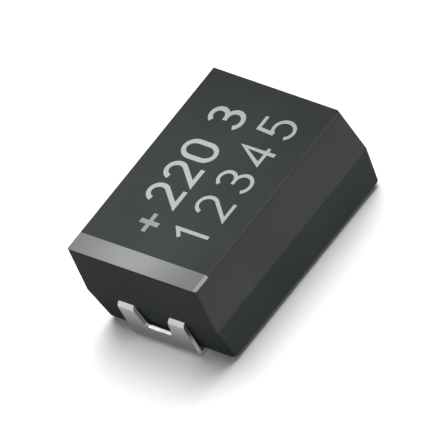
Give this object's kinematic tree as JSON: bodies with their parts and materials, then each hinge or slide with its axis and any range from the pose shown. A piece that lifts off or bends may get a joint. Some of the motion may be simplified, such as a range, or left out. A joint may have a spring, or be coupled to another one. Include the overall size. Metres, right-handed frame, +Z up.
{
  "type": "surface mount capacitor",
  "caption": "Moulded tantalum chip capacitor with folded solder leads at both ends and a polarity stripe.",
  "frame": {"origin": "on the board plane under the middle of the case, level with the undersides of both solder feet", "axes": "+X along the case towards the cathode end, -X the striped anode end, +Z up, +Y across"},
  "size_m": [0.0072, 0.005, 0.003],
  "materials": {
    "case_epoxy": "moulded black epoxy compound, satin",
    "stripe_print": "printed grey ink",
    "tinned_lead": "tin plated nickel-iron strip, satin",
    "tantalum_metal": "drawn wire",
    "tantalum_sinter": "sintered powder metal, dull and porous",
    "oxide": "black manganese dioxide, dull",
    "graphite": "dried graphite dip, dull grey",
    "silver_paint": "dried silver paint, matt",
    "washer_plastic": "white fluoropolymer",
    "silver_glue": "silver filled epoxy glue"
  },
  "bodies": {
    "root": {"moulded_case": "case_epoxy", "polarity_stripe": "stripe_print", "anode_lead": "tinned_lead", "cathode_lead": "tinned_lead", "tantalum_wire": "tantalum_metal", "tantalum_pellet": "tantalum_sinter", "manganese_dioxide_coat": "oxide", "graphite_coat": "graphite", "silver_coat": "silver_paint", "insulating_washer": "washer_plastic", "silver_glue": "silver_glue"}
  },
  "joints": []
}
